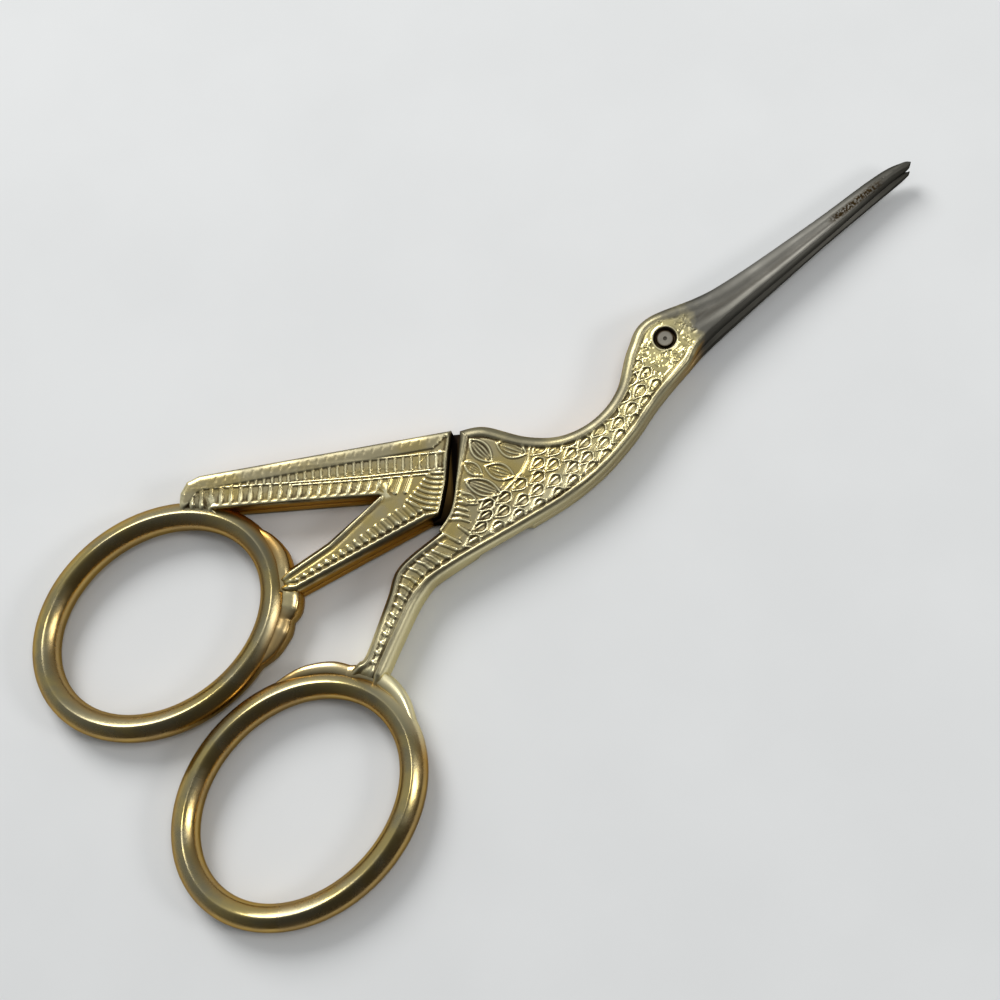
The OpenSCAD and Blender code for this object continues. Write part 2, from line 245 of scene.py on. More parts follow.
def tailLine():
    b = body
    end = b["tailEnd"]
    points = [off(b["shoulder"], -0.7, 0.55), off(end, 1.6, -0.4), end, off(end, -1.4, -0.6),
              ringPoint(1, 52)]
    return styled(points, "tailTop", "tailTop", "tailTop", "tailTop", "hidden")


def branches():
    # inside the ring, back along the tail's lower edge, and out again along the leg's upper edge
    b = body
    foot = b["foot1"]
    inRing = styled([ringPoint(1, t) for t in (38, 24)], "hidden")
    tailLow = styled([b["tailLow"], b["windowTop"]], "tailLow", "tailLow")
    leg = styled([off(way(foot, b["windowTop"], 0.43, 0), 0, b["leg1Foot"] - 0.6),
                  off(foot, 0, b["leg1Foot"]), off(foot, -1.2, b["leg1Foot"])], "shin", "shin", "hidden")
    inRing2 = styled([ringPoint(1, t) for t in (-12, -28)], "hidden")
    return inRing + tailLow + leg + inRing2


def rearOutline():
    seam = [rearCrotch, way(rearCrotch, rearSeamEnd, 0.25, 0.2),
            way(rearCrotch, rearSeamEnd, 0.65, 0.66), rearSeamEnd]
    return (smooth(rearBladeEdge() + napeLine()) + tailLine() + branches()
            + styled([body["foot1"]], "bead") + smooth(styled(seam, "bead", "seam"))
            + smooth(breastLine() + rearBladeBack()))


def tailOutline():
    b = body
    s = b["seam"]
    start = styled([off(b["shoulder"], -1.1 - 0.3 * s, -0.4 + 0.3 * s)], "seam")
    seam = [off(way(b["shoulder"], b["crotch"], t, u), -0.74 * s, 0.68 * s)
            for t, u in ((0.73, 0.85), (0.45, 0.57), (0.2, 0.25))]
    low = styled([b["foot1"], rearCrotch, b["leg1Start"]], "bead", "bead", "seam")
    return start + tailLine() + branches() + low + styled(seam, "seam")


# the dense skins that carry the relief
skin = {
    # spacing under the relief, on a plain underside and on the blades, which begin at bladeFrom
    "fine": 0.092, "under": 0.17, "coarse": 0.27, "bladeFrom": 3.4,
    "edgeStep": 0.14,     # spacing along an outline
    "rows": (0.07, 0.16, 0.27, 0.4, 0.55, 0.7, 0.85, 1.0, 1.15, 1.3, 1.45),
    "rowKept": 0.93, "afterRows": 0.06, "least": 0.1, "wallRows": (0.34, 0.67, 1.0),
    "grooveHalf": 0.32, "underChamfer": 0.07,
}
# round a recess: the clear belt for its own rows, the calm level field and the raised lip
seat = {
    "belt": 0.1, "boreBelt": 0.05, "rows": (-0.04, 0, 0.05), "calmFrom": 1.9, "calmWide": 0.8,
    "level": -0.1, "lip": 0.07, "lipOut": 0.16, "lipWide": 0.12, "wallIn": 0.02, "plain": 0.1,
}


def above(value, edge, soft):
    return np.clip((value - edge) / soft, 0, 1)


def below(value, edge, soft):
    return np.clip((edge - value) / soft, 0, 1)


def dense(outline, step):
    # the outline cut into short stretches; the columns after x and y are the edge style
    p = np.array(outline, float)
    out = []
    for i in range(len(p)):
        a, b = p[i], p[(i + 1) % len(p)]
        n = max(1, int(math.ceil(np.hypot(*(b[:2] - a[:2])) / step)))
        out += [a + (b - a) * k / n for k in range(n)]
    return np.array(out)


def inwardOf(loop):
    along = np.roll(loop, -1, axis=0)[:, :2] - np.roll(loop, 1, axis=0)[:, :2]
    along /= np.maximum(np.hypot(along[:, 0], along[:, 1]), 1e-9)[:, None]
    return np.column_stack([-along[:, 1], along[:, 0]])


def nearest(points, loop):
    # distance from each point to the loop, and the loop's columns at the nearest place
    tree = KDTree(len(loop))
    for i, row in enumerate(loop):
        tree.insert((row[0], row[1], 0), i)
    tree.balance()
    near = np.array([tree.find((x, y, 0))[1] for x, y in points[:, :2].tolist()], int)
    best, cols = np.full(len(points), 1e9), np.empty((len(points), loop.shape[1]))
    for first in (near - 1, near):
        a, b = loop[first % len(loop)], loop[(first + 1) % len(loop)]
        ab = b[:, :2] - a[:, :2]
        t = ((points[:, :2] - a[:, :2]) * ab).sum(1) / np.maximum((ab ** 2).sum(1), 1e-12)
        t = np.clip(t, 0, 1)[:, None]
        d = np.hypot(*(points[:, :2] - a[:, :2] - t * ab).T)
        nearer = d < best
        best[nearer] = d[nearer]
        cols[nearer] = (a * (1 - t) + b * t)[nearer]
    return best, cols


def insideLoop(points, loop):
    x, y = points[:, 0], points[:, 1]
    inside = np.zeros(len(points), bool)
    for (x1, y1), (x2, y2) in zip(loop[:, :2], np.roll(loop, -1, axis=0)[:, :2]):
        if y1 != y2:
            inside ^= ((y1 > y) != (y2 > y)) & (x < (x2 - x1) * (y - y1) / (y2 - y1) + x1)
    return inside


def lattice(lo, hi, step):
    rows = np.arange(lo[1], hi[1], step * math.sqrt(3) / 2)
    x, y = np.meshgrid(np.arange(lo[0], hi[0], step), rows)
    x = x + (np.arange(len(rows)) % 2)[:, None] * step / 2
    return np.column_stack([x.ravel(), y.ravel()])


def edgeProfile(d, style):
    # height of the worked edge against the top of the face
    width, drop, roundness, lip, lipEnd, groove, step, deep, field = style.T
    t = np.clip(d / width, 0, 1)
    arc = 1 - np.sqrt(np.maximum(0, 1 - (1 - t) ** 2))
    z = -drop * (roundness * arc + (1 - roundness) * (1 - t))
    u = np.clip((d - 0.4 * width) / np.maximum(lipEnd - 0.4 * width, 0.05), 0, 1)
    z -= lip * (1 - np.sin(np.pi * u) ** 2) * np.clip(t * 1.5 - 0.5, 0, 1)
    v = np.clip((d - lipEnd) / 0.25, 0, 1)
    z -= (step - lip) * v * v * (3 - 2 * v)
    w = np.clip(np.abs(d - groove) / skin["grooveHalf"], 0, 1)
    # the ornament is fainter on a border between its start and the lip
    return z - deep * (1 - w * w) ** 2, np.maximum(v, 0.35 * np.clip((d - field) / 0.25, 0, 1))


def bladeHollow(x, y):
    # the blade's taper and its valley
    k = blade
    taper = np.clip(x - k["taperFrom"], 0, None) * k["taper"]
    middle, deep = np.interp(x, k["valleyAt"], k["valleyY"]), np.interp(x, k["deepAt"], k["deep"])
    across = np.clip(np.abs(y - middle) / np.interp(x, k["halfAt"], k["half"]), 0, 1)
    return taper + deep * (1 - across ** 2) ** 2


def circle(r, n=72):
    t = np.arange(n) * 2 * math.pi / n
    return np.column_stack([r * np.cos(t), r * np.sin(t)])


def triangulate(loop, inner, bore):
    # triangles inside the loop and outside the bore; the first points returned are loop and bore
    n = len(loop)
    holes = circle(bore) if bore else np.empty((0, 2))
    every = np.vstack([loop[:, :2], holes, inner])
    edges = [(i, (i + 1) % n) for i in range(n)]
    edges += [(n + i, n + (i + 1) % len(holes)) for i in range(len(holes))]
    got = delaunay_2d_cdt([Vector(q) for q in every], edges, [], 1, 1e-7)
    xy = np.array([(v.x, v.y) for v in got[0]])
    tri = np.array(got[2])
    place = {}
    for i, sources in enumerate(got[3]):
        for q in sources:
            place[q] = i
    if bore:
        middle = xy[tri].mean(1)
        tri = tri[np.hypot(middle[:, 0], middle[:, 1]) > bore * 0.999]
    rim = [place[i] for i in range(n)]
    boreRim = [place[n + i] for i in range(len(holes))]
    return xy, tri, rim, boreRim


def plate(outline, zFlat, zFace, fine=True, shrink=0.0, bore=0.0, recess=(0.0, 0.0)):
    # one closed plate: worked face, wall and flat side. Returns points, faces and the face mask
    up = 1 if zFace > zFlat else -1
    loop = dense(outline, skin["edgeStep"])
    loop[:, :2] += shrink * inwardOf(loop)
    inward = inwardOf(loop)
    rows = np.vstack([loop[:, :2] + d * inward for d in skin["rows"]])
    want = np.repeat(skin["rows"], len(loop))
    keep = insideLoop(rows, loop)
    rows, want = rows[keep], want[keep]
    got, _ = nearest(rows, loop)
    rows = rows[got > skin["rowKept"] * want]
    lo, hi = loop[:, :2].min(0), loop[:, :2].max(0)
    edgeBand = skin["rows"][-1] + skin["afterRows"]
    fields = []
    for step, x0, x1 in ((skin["fine" if fine else "under"], lo[0], skin["bladeFrom"]),
                         (skin["coarse"], skin["bladeFrom"], hi[0])):
        if x1 <= x0:
            continue
        field = lattice((x0, lo[1]), (x1, hi[1]), step)
        field = field[insideLoop(field, loop)]
        far, _ = nearest(field, loop)
        fields.append(field[far > edgeBand])
    inner = np.vstack([rows] + fields)
    radius, deep = recess
    if radius:
        r = np.hypot(inner[:, 0], inner[:, 1])
        inner = inner[(np.abs(r - radius) > seat["belt"]) & (r > bore + seat["boreBelt"])]
        inner = np.vstack([inner] + [circle(radius + q) for q in seat["rows"]])
    xy, tri, rim, boreRim = triangulate(loop, inner, bore)
    d, style = nearest(xy, loop)
    drop, mask = edgeProfile(d, style[:, 2:])
    drop -= bladeHollow(xy[:, 0], xy[:, 1])
    r = np.hypot(xy[:, 0], xy[:, 1])
    if radius:
        calm = above(r, seat["calmFrom"], seat["calmWide"])
        drop = drop * calm + (1 - calm) * seat["level"]
        drop += seat["lip"] * np.exp(-((r - radius - seat["lipOut"]) / seat["lipWide"]) ** 2)
        drop[r < radius - seat["wallIn"]] = -deep
        mask *= r > radius + seat["plain"]
    for side in (1, -1):
        reach = np.where(xy[:, 1] > ring["tailFrom"], ring["tailDip"], ring["legDip"])
        near = below(ringGap(side, xy), reach, ring["dipWide"])
        drop -= near * near * (3 - 2 * near) * ring["dipDeep"]
    z = zFace + up * drop
    z = np.maximum(z, zFlat + skin["least"]) if up > 0 else np.minimum(z, zFlat - skin["least"])
    points = [np.column_stack([xy, z])]
    faces = [tuple(t) if up > 0 else tuple(t[::-1]) for t in tri.tolist()]
    masks = [up * mask]
    count = len(xy)

    def strip(a, b):
        n = len(a)
        for i in range(n):
            quad = (a[i], b[i], b[(i + 1) % n], a[(i + 1) % n])
            faces.append(quad if up > 0 else quad[::-1])

    # wall rows, then the small chamfer and the flat side
    last = rim
    n = len(loop)
    zRim = z[rim]
    zLow = zFlat + up * skin["underChamfer"]
    for share in skin["wallRows"]:
        zz = zRim + (zLow - zRim) * share
        points.append(np.column_stack([loop[:, :2], zz]))
        masks.append(np.zeros(n))
        now = list(range(count, count + n))
        strip(last, now)
        last = now
        count += n
    base = loop.copy()
    base[:, :2] += skin["underChamfer"] * inward
    capXy, capTri, capRim, capBore = triangulate(base, np.empty((0, 2)), bore)
    points.append(np.column_stack([capXy, np.full(len(capXy), zFlat)]))
    masks.append(np.zeros(len(capXy)))
    strip(last, [count + i for i in capRim])
    faces += [tuple(count + i for i in (t[::-1] if up > 0 else t)) for t in capTri.tolist()]
    if bore:
        strip([count + i for i in capBore], boreRim)
    return np.vstack(points), faces, np.concatenate(masks)


soot = {
    # painted shade in the gap of the joint between tail and body; dense() closes a line, and "back" rows of
    # that are left off
    "joint": [(-24.6, 7.6, 0), (-26.4, 5.5, 0), (-28.4, 3.5, 0), (-30.2, 1.9, 0), (-31.6, 0.7, 0),
              (-33.2, 0.35, 0)],
    "step": 0.2, "back": 30, "wide": (1.25, 0.35), "top": (4.12, 0.3), "foot": (0.3, 0.4),
    # painted shadow in the recess round the eye
    "eye": (1.5, 0.22), "pupil": (0.8, 0.1), "eyeShare": 0.9,
}


# painted shade: darker in the gap of the joint between tail and body and in the recess round the eye
def paintedShadeOn(every):
    away, _ = nearest(every, dense(soot["joint"], soot["step"])[:-soot["back"]])
    high, fromPivot = every[:, 2], np.hypot(every[:, 0], every[:, 1])
    joint = below(away, *soot["wide"]) * below(high, *soot["top"]) * above(high, *soot["foot"])
    eye = below(fromPivot, *soot["eye"]) * above(fromPivot, *soot["pupil"])
    return np.maximum(joint, soot["eyeShare"] * eye * (high > mid))


def placed(name, data):
    obj = bpy.data.objects.new(name, data)
    scene.collection.objects.link(obj)
    return obj


def meshObject(name, points, edges=(), faces=(), **values):
    # a mesh from points in millimetres, with its values for each point as attributes
    mesh = bpy.data.meshes.new(name)
    mesh.from_pydata((np.array(points, float) * mm).tolist(), list(edges), list(faces))
    for key, value in values.items():
        mesh.attributes.new(key, "FLOAT", "POINT").data.foreach_set("value", value)
    return placed(name, mesh)


def meshFrom(name, plates):
    # several closed plates in one mesh, with the painted shade mask and the face mask
    faces, start = [], 0
    for p, f, m in plates:
        faces += [tuple(i + start for i in face) for face in f]
        start += len(p)
    every = np.vstack([p for p, f, m in plates])
    obj = meshObject(name, every, (), faces, soot=paintedShadeOn(every),
                     faceMask=np.concatenate([m for p, f, m in plates]))
    obj.data.polygons.foreach_set("use_smooth", [True] * len(faces))
    obj.data.update()
    return obj


mid, gap, lap, thick = body["mid"], body["gap"], body["lap"], body["thick"]
screw = {"boreFront": 0.92, "boreRear": 1.54, "eye": (1.3, 0.74), "headSeat": (2.35, 0.8)}
frontSkin = meshFrom("frontHalf", [
    plate(frontOutline(), mid + gap, thick, bore=screw["boreFront"], recess=screw["eye"]),
    plate(leg2Under(), mid + gap + lap, 0, fine=False, shrink=body["partStep"]),
])
rearSkin = meshFrom("rearHalf", [
    plate(rearOutline(), mid - gap, 0, fine=False, bore=screw["boreRear"], recess=screw["headSeat"]),
    plate(tailOutline(), mid - gap - lap, thick, shrink=body["partStep"]),
])
print("stage: skins", len(frontSkin.data.polygons), len(rearSkin.data.polygons))


# node helpers: they build in the tree that work holds
work = {}


def feed(socket, value):
    # links an output to the socket, given as itself or as (node, name), or sets its value
    if isinstance(value, tuple) and hasattr(value[0], "outputs"):
        value = value[0].outputs[value[1]]
    if hasattr(value, "is_linked"):
        work["tree"].links.new(value, socket)
    else:
        socket.default_value = value


def put(kind, settings=None, **inputs):
    # a node with its settings and inputs; i0, i1 and so on stand for an input's number
    n = work["tree"].nodes.new(kind)
    for key, value in (settings or {}).items():
        setattr(n, key, value)
    for key, value in inputs.items():
        feed(n.inputs[int(key[1:]) if key[0] == "i" and key[1:].isdigit() else key], value)
    return n


def shade(kind, settings=None, **inputs):
    return put("ShaderNode" + kind, settings, **inputs)


def geo(kind, settings=None, **inputs):
    return put("GeometryNode" + kind, settings, **inputs)


def vector(operation, a, b=(0, 0, 0)):
    return shade("VectorMath", {"operation": operation}, i0=a, i1=b)


def blend(operation, a, b, clamp=True):
    return shade("Math", {"operation": operation, "use_clamp": clamp}, i0=a, i1=b).outputs[0]


def times(a, b, clamp=True):
    return blend("MULTIPLY", a, b, clamp)


def plus(a, b, clamp=True):
    return blend("ADD", a, b, clamp)


def minus(a, b, clamp=False):
    return blend("SUBTRACT", a, b, clamp)


def rest(a):
    return minus(1.0, a, True)


def unsigned(a):
    return blend("ABSOLUTE", a, 0)


def newTree(name, inputs, outputs, kind="ShaderNodeTree"):
    # each socket is a name with its form and, if it has one, its usual value
    tree = work["tree"] = bpy.data.node_groups.new(name, kind)
    for side, sockets in (("INPUT", inputs), ("OUTPUT", outputs)):
        for label, (form, *value) in sockets.items():
            s = tree.interface.new_socket(name=label, in_out=side, socket_type="NodeSocket" + form)
            if value:
                s.default_value = value[0]
    return tree.nodes.new("NodeGroupInput"), tree.nodes.new("NodeGroupOutput")


def geometryTree(name, inputs):
    shape = {"Geometry": ("Geometry",)}
    return newTree(name, {**shape, **inputs, "Finish": ("Material",)}, shape, "GeometryNodeTree")


def endTree(gin, gout, made):
    real = geo("RealizeInstances", Geometry=(made, 0))
    done = geo("SetMaterial", Geometry=(real, 0), Material=(gin, "Finish"))
    feed(gout.inputs[0], done.outputs[0])
    return work["tree"]


def applyTree(obj, tree, **values):
    # runs a tree on the object and keeps the result as its plain mesh
    mod = obj.modifiers.new(tree.name, "NODES")
    mod.node_group = tree
    for item in tree.interface.items_tree:
        if item.item_type == "SOCKET" and item.in_out == "INPUT" and item.name in values:
            mod[item.identifier] = values[item.name]
    deps = bpy.context.evaluated_depsgraph_get()
    mesh = bpy.data.meshes.new_from_object(obj.evaluated_get(deps), depsgraph=deps)
    obj.modifiers.remove(mod)
    obj.data = mesh


# relief: a family is many struck lines as close points, each with a reach and a rise
def newFamily():
    return {"points": [], "reach": [], "rise": []}


def lengthsOf(p):
    return np.concatenate([[0], np.cumsum(np.hypot(*np.diff(p, axis=0).T))])


def strike(family, line, reach, rise, step=0.06):
    # reach and rise are lists along the line, or one number for all of it
    p = np.array(line, float)
    lengths = lengthsOf(p)
    s = np.linspace(0, lengths[-1], max(2, int(lengths[-1] / step) + 1))
    x, y = np.interp(s, lengths, p[:, 0]), np.interp(s, lengths, p[:, 1])
    family["points"] += [(a, b, 0) for a, b in zip(x, y)]
    for key, value in (("reach", np.atleast_1d(reach)), ("rise", np.atleast_1d(rise))):
        part = np.linspace(0, lengths[-1], len(value))
        family[key] += (np.interp(s, part, value) * mm).tolist()


def along(line, n):
    # n places on a polyline with the direction there
    p = np.array(line, float)
    lengths = lengthsOf(p)
    out = []
    for s in np.linspace(0.0, 1.0, n) * lengths[-1]:
        x, y = np.interp(s, lengths, p[:, 0]), np.interp(s, lengths, p[:, 1])
        k = min(np.searchsorted(lengths, s, side="right"), len(p) - 1)
        d = p[k] - p[k - 1]
        out.append(((x, y), d / np.hypot(*d)))
    return out


scales = {
    "long": 2.05, "wide": 0.64, "rimReach": 0.17, "rimRise": 0.12, "pit": 0.13, "veinReach": 0.16,
    "veinRise": 0.12, "blunt": 0.7, "veins": (0.2,),
    # the worn flecks round the eye: how many, where, and the ranges of their sizes
    "flecks": 190, "fleckX": (-5.5, 3.6), "fleckY": (-3.4, 2.2), "fleckLong": (0.1, 0.5),
    "fleckReach": (0.14, 0.26), "fleckRise": [-0.06, 0.04, 0.06], "eyeClear": 1.6, "brow": (1.9, 0.25),
    # the middles, from the head to the body, and how they turn along the bird (at x, degrees)
    "turn": ((-30, -20, -5), (-9, 0, 9)),
    "middles": [
        (-4.7, -0.4), (-4.5, -1.7), (-6.2, -1.2), (-4.6, -3.5), (-6.3, -2.9), (-8.1, -2.2),
        (-6.6, -4.2), (-10.3, -2.8), (-8.4, -3.8), (-10.6, -4.1), (-9.0, -5.0), (-12.7, -3.3),
        (-11.4, -5.3), (-14.9, -3.3), (-13.3, -4.8), (-16.0, -2.1), (-16.9, -3.3),
        (-15.8, -4.8), (-14.0, -6.0), (-17.9, -1.7), (-19.2, -2.9), (-17.7, -4.6),
        (-16.1, -6.0), (-19.1, -0.5), (-20.4, -1.7), (-20.2, -4.4), (-18.7, -5.8),
        (-21.4, -2.9), (-23.4, -2.2), (-22.4, -4.0), (-20.9, -5.8), (-25.7, -2.2),
        (-24.4, -3.8), (-23.3, -5.4), (-27.7, -1.6), (-26.8, -3.3), (-25.8, -4.8),
        (-28.6, -2.4), (-29.9, -3.0), (-28.4, -4.3), (-31.5, -3.7),
    ],
}


def leaf(made, tip, end, wide, look, bow):
    # a leaf or teardrop: raised rim, sunken middle and a few fine ridges along it
    rims, pits, veins = made
    tip, end = np.array(tip), np.array(end)
    d = (end - tip) / np.hypot(*(end - tip))
    side = np.array([-d[1], d[0]])
    parts = np.linspace(0, 1, 15)
    half = wide * np.sin(math.pi * parts ** bow) ** look["blunt"]
    middle = tip + (end - tip) * parts[:, None]
    edge = np.vstack([middle + half[:, None] * side, (middle - half[:, None] * side)[::-1]])
    strike(rims, edge, look["rimReach"], look["rimRise"], 0.05)
    strike(pits, middle, np.maximum(1.02 * half, 0.05), -look["pit"], 0.05)
    veinRise = [0.5 * look["veinRise"], look["veinRise"], 0.7 * look["veinRise"]]
    for k in look["veins"]:
        line = [middle[i] + k * half[i] * side for i in range(2, 13, 2)]
        strike(veins, line, look["veinReach"], veinRise, 0.05)


def neckScales():
    s = scales
    made = newFamily(), newFamily(), newFamily()
    for x, y in s["middles"]:
        angle = math.radians(np.interp(x, *s["turn"]))
        reach = np.array([math.cos(angle), math.sin(angle)]) * s["long"] / 2
        leaf(made, (x, y) - reach, (x, y) + reach, s["wide"], s, 1.6)
    draw = np.random.default_rng(4)
    for _ in range(s["flecks"]):
        x, y = draw.uniform(*s["fleckX"]), draw.uniform(*s["fleckY"])
        if s["eyeClear"] < math.hypot(x, y) and y < s["brow"][0] + s["brow"][1] * x:
            turn, long = draw.uniform(0, math.pi), draw.uniform(*s["fleckLong"])
            line = [(x, y), (x + long * math.cos(turn), y + long * math.sin(turn))]
            strike(made[0], line, draw.uniform(*s["fleckReach"]), draw.choice(s["fleckRise"]), 0.05)
    return made


wing = {
    "rimReach": 0.2, "rimRise": 0.13, "pit": 0.06, "veinReach": 0.13, "veinRise": 0.1, "blunt": 0.8,
    "veins": (-0.45, 0.0, 0.45),
    # each feather: its two ends and half its width
    "feathers": [
        ((-24.2, 5.5), (-24.0, 2.0), 0.9),
        ((-22.2, 3.1), (-20.5, 0.1), 1.0),
        ((-26.4, 3.9), (-25.8, 1.5), 0.6),
        ((-24.9, 1.9), (-23.2, -1.0), 0.9),
        ((-27.6, 2.1), (-25.6, -1.6), 0.9),
        ((-29.0, 1.3), (-28.3, -0.7), 0.5),
    ],
    "border": [(-19.4, 0.6), (-20.9, -0.7), (-22.3, -1.3), (-24.7, -1.6), (-26.2, -1.4), (-27.8, -0.7),
               (-29.7, 0.7)],
    "borderReach": 0.2, "borderRise": 0.12,
    # the bent ribs behind the feathers
    "ribs": [(-30.2, 3.0), (-32.0, 0.2)], "ribCount": 6, "ribReach": 0.22,
    "ribBend": [(0.1, -0.2), (1.1, -1.0), (1.7, -1.9)],
}


def wingFeathers():
    made = newFamily(), newFamily(), newFamily()
    for tip, end, wide in wing["feathers"]:
        leaf(made, tip, end, wide, wing, 1.0)
    strike(made[0], wing["border"], wing["borderReach"], wing["borderRise"])
    for p, _ in along(wing["ribs"], wing["ribCount"]):
        strike(made[0], [off(p, *step) for step in wing["ribBend"]], wing["ribReach"], wing["borderRise"])
    return made


tail = {
    # rows of ribs between two lines, from the ring to the body
    "low": [(-53.4, 20.5), (-44.0, 13.4), (-33.6, 5.7)],
    "lowTop": [(-52.2, 22.0), (-42.9, 14.8), (-32.1, 6.6)], "lowCount": 23, "lowReach": 0.28,
    "mid": [(-51.3, 21.7), (-42.5, 15.3), (-27.6, 4.5)],
    "midTop": [(-51.1, 21.9), (-41.8, 16.3), (-26.7, 5.6)], "midCount": 32, "midReach": 0.2,
    "rise": 0.17, "lineReach": 0.14, "lineRise": 0.13,
    "lines": [[(-52.0, 22.2), (-42.7, 15.1), (-35.7, 9.9), (-28.0, 4.5)],
              [(-42.8, 14.8), (-35.9, 9.6), (-28.5, 4.3)], [(-41.8, 16.7), (-34.5, 11.4), (-26.6, 5.9)]],
    "border": [(-48.7, 21.8), (-25.4, 8.1)], "borderCount": 26, "borderStroke": (-0.6, -0.7),
    "borderReach": 0.14, "borderRise": [-0.24, -0.12],
    # the fan of bows where the tail meets the body
    "fan": (-28.1, 6.5), "fanCount": 8, "fanFirst": 2.0, "fanStep": 0.6, "fanReach": 0.24,
    "fanSweep": (204, 244, 6),
}


def tailRibs():
    ribs, lines = newFamily(), newFamily()
    t = tail
    for low, top, count, reach, rise in (("low", "lowTop", "lowCount", t["lowReach"], t["rise"]),
                                         ("mid", "midTop", "midCount", t["midReach"], 0.8 * t["rise"])):
        for (a, _), (b, _) in zip(along(t[low], t[count]), along(t[top], t[count])):
            strike(ribs, [a, b], reach, [rise, 0.8 * rise])
    for line in t["lines"]:
        strike(lines, line, t["lineReach"], t["lineRise"])
    first, last, step = t["fanSweep"]
    for k in range(t["fanCount"]):
        r = t["fanFirst"] + t["fanStep"] * k
        bow = [off(t["fan"], r * math.cos(math.radians(q)), r * math.sin(math.radians(q)))
               for q in range(first - k, last, step)]
        strike(ribs, bow, t["fanReach"], t["rise"])
    for p, _ in along(t["border"], t["borderCount"]):
        strike(lines, [p, off(p, *t["borderStroke"])], t["borderReach"], t["borderRise"])
    return ribs, lines


legs = {
    "count1": 17, "reach1": 0.31, "rise1": 0.17,
    "line1": [(-49.1, 5.4), (-46.4, 4.9), (-43.8, 4.5), (-41.2, 4.2), (-38.6, 3.9), (-36.2, 3.7),
              (-33.7, 3.2)],
    "half1": (0.42, 0.6, 0.8, 0.95),
    "reach2": [0.16, 0.22, 0.3], "thighReach": [0.2, 0.28], "rise2": 0.17,
    "upper2": [((-33.4, -0.9), (-32.6, -2.8)), ((-34.5, -1.3), (-33.4, -3.2)),
               ((-35.5, -1.6), (-34.5, -3.6)), ((-36.5, -1.8), (-35.7, -3.7)),
               ((-31.5, -1.4), (-31.1, -2.9))],
    "ends2": [(-35.8, -3), (-38.9, -3.3), (-42.2, -4.2), (-45.4, -5.5), (-48.4, -7)], "count2": 13,
    "longAt": (-48.4, -43, -39), "long2": (0.7, 1.3, 2.0),
}


def legRibs():
    ribs = newFamily()
    g = legs
    halves = np.interp(np.linspace(0, 3, g["count1"]), range(4), g["half1"])
    for (p, _), half in zip(along(g["line1"], g["count1"]), halves):
        strike(ribs, [off(p, -0.1, half), off(p, 0.1, -half)], g["reach1"], [0.7 * g["rise1"], g["rise1"]])
    for a, b in g["upper2"]:
        strike(ribs, [a, b], g["thighReach"], [0.6 * g["rise2"], g["rise2"]])
    for p, _ in along(g["ends2"], g["count2"]):
        long = np.interp(p[0], g["longAt"], g["long2"])
        strike(ribs, [off(p, -0.42 * long, long), off(p, -0.1 * long, 0.45 * long), p],
               g["reach2"], [0.5 * g["rise2"], 0.8 * g["rise2"], g["rise2"]])
    return ribs


def struckReliefTree():
    # raises a masked face over the nearest struck point: rise x (1 - (gap / reach)^2)^softness
    gin, gout = geometryTree("struckRelief", {"Pattern": ("Object",), "Softness": ("Float", 0.8)})
    info = geo("ObjectInfo", Object=(gin, "Pattern"))
    here = geo("InputPosition").outputs[0]
    flat = vector("MULTIPLY", here, (1, 1, 0))
    find = geo("SampleNearest", {"domain": "POINT"}, Geometry=(info, "Geometry"),
               **{"Sample Position": (flat, 0)})

    def sample(form, source):
        return geo("SampleIndex", {"data_type": form, "domain": "POINT"},
                   Geometry=(info, "Geometry"), Value=source, Index=(find, "Index")).outputs[0]

    def named(label):
        return geo("InputNamedAttribute", {"data_type": "FLOAT"}, Name=label).outputs[0]

    away = vector("DISTANCE", (flat, 0), sample("FLOAT_VECTOR", here)).outputs[1]
    share = blend("DIVIDE", away, sample("FLOAT", named("reach")))
    lift = blend("POWER", rest(times(share, share, False)), (gin, "Softness"), False)
    lift = times(times(lift, sample("FLOAT", named("rise")), False), named("faceMask"), False)
    offset = shade("CombineXYZ", Z=lift)
    moved = geo("SetPosition", Geometry=(gin, "Geometry"), Offset=(offset, 0))
    return endTree(gin, gout, moved)


gilt = bpy.data.materials.new("wornGilt")
reliefTree = struckReliefTree()
scaleRims, scalePits, scaleVeins = neckScales()
featherRims, featherPits, featherVeins = wingFeathers()
ribFamily, lineFamily = tailRibs()
# each family with its softness
patterns = [(meshObject(name, made["points"], reach=made["reach"], rise=made["rise"]), softness)
            for name, made, softness in (
    ("scalePits", scalePits, 0.5), ("scaleRims", scaleRims, 1.0), ("scaleVeins", scaleVeins, 1.0),
    ("featherPits", featherPits, 0.5), ("featherRims", featherRims, 1.0),
    ("featherVeins", featherVeins, 1.0), ("tailRibs", ribFamily, 0.7), ("tailLines", lineFamily, 1.0),
    ("legRibs", legRibs(), 0.7))]
for half in (frontSkin, rearSkin):
    for pattern, softness in patterns:
        applyTree(half, reliefTree, Pattern=pattern, Softness=softness, Finish=gilt)
for pattern, _ in patterns:
    bpy.data.objects.remove(pattern)


def heldIn(obj, soft=0.08):
    # no relief stands out above or below the metal's thickness
    z = np.empty(len(obj.data.vertices) * 3)
    obj.data.vertices.foreach_get("co", z)
    h = thick / 2 - soft
    over = z[2::3] / mm - mid
    z[2::3] = (mid + np.clip(over, -h, h) + soft * np.tanh((over - np.clip(over, -h, h)) / soft)) * mm
    obj.data.vertices.foreach_set("co", z)
    obj.data.update()


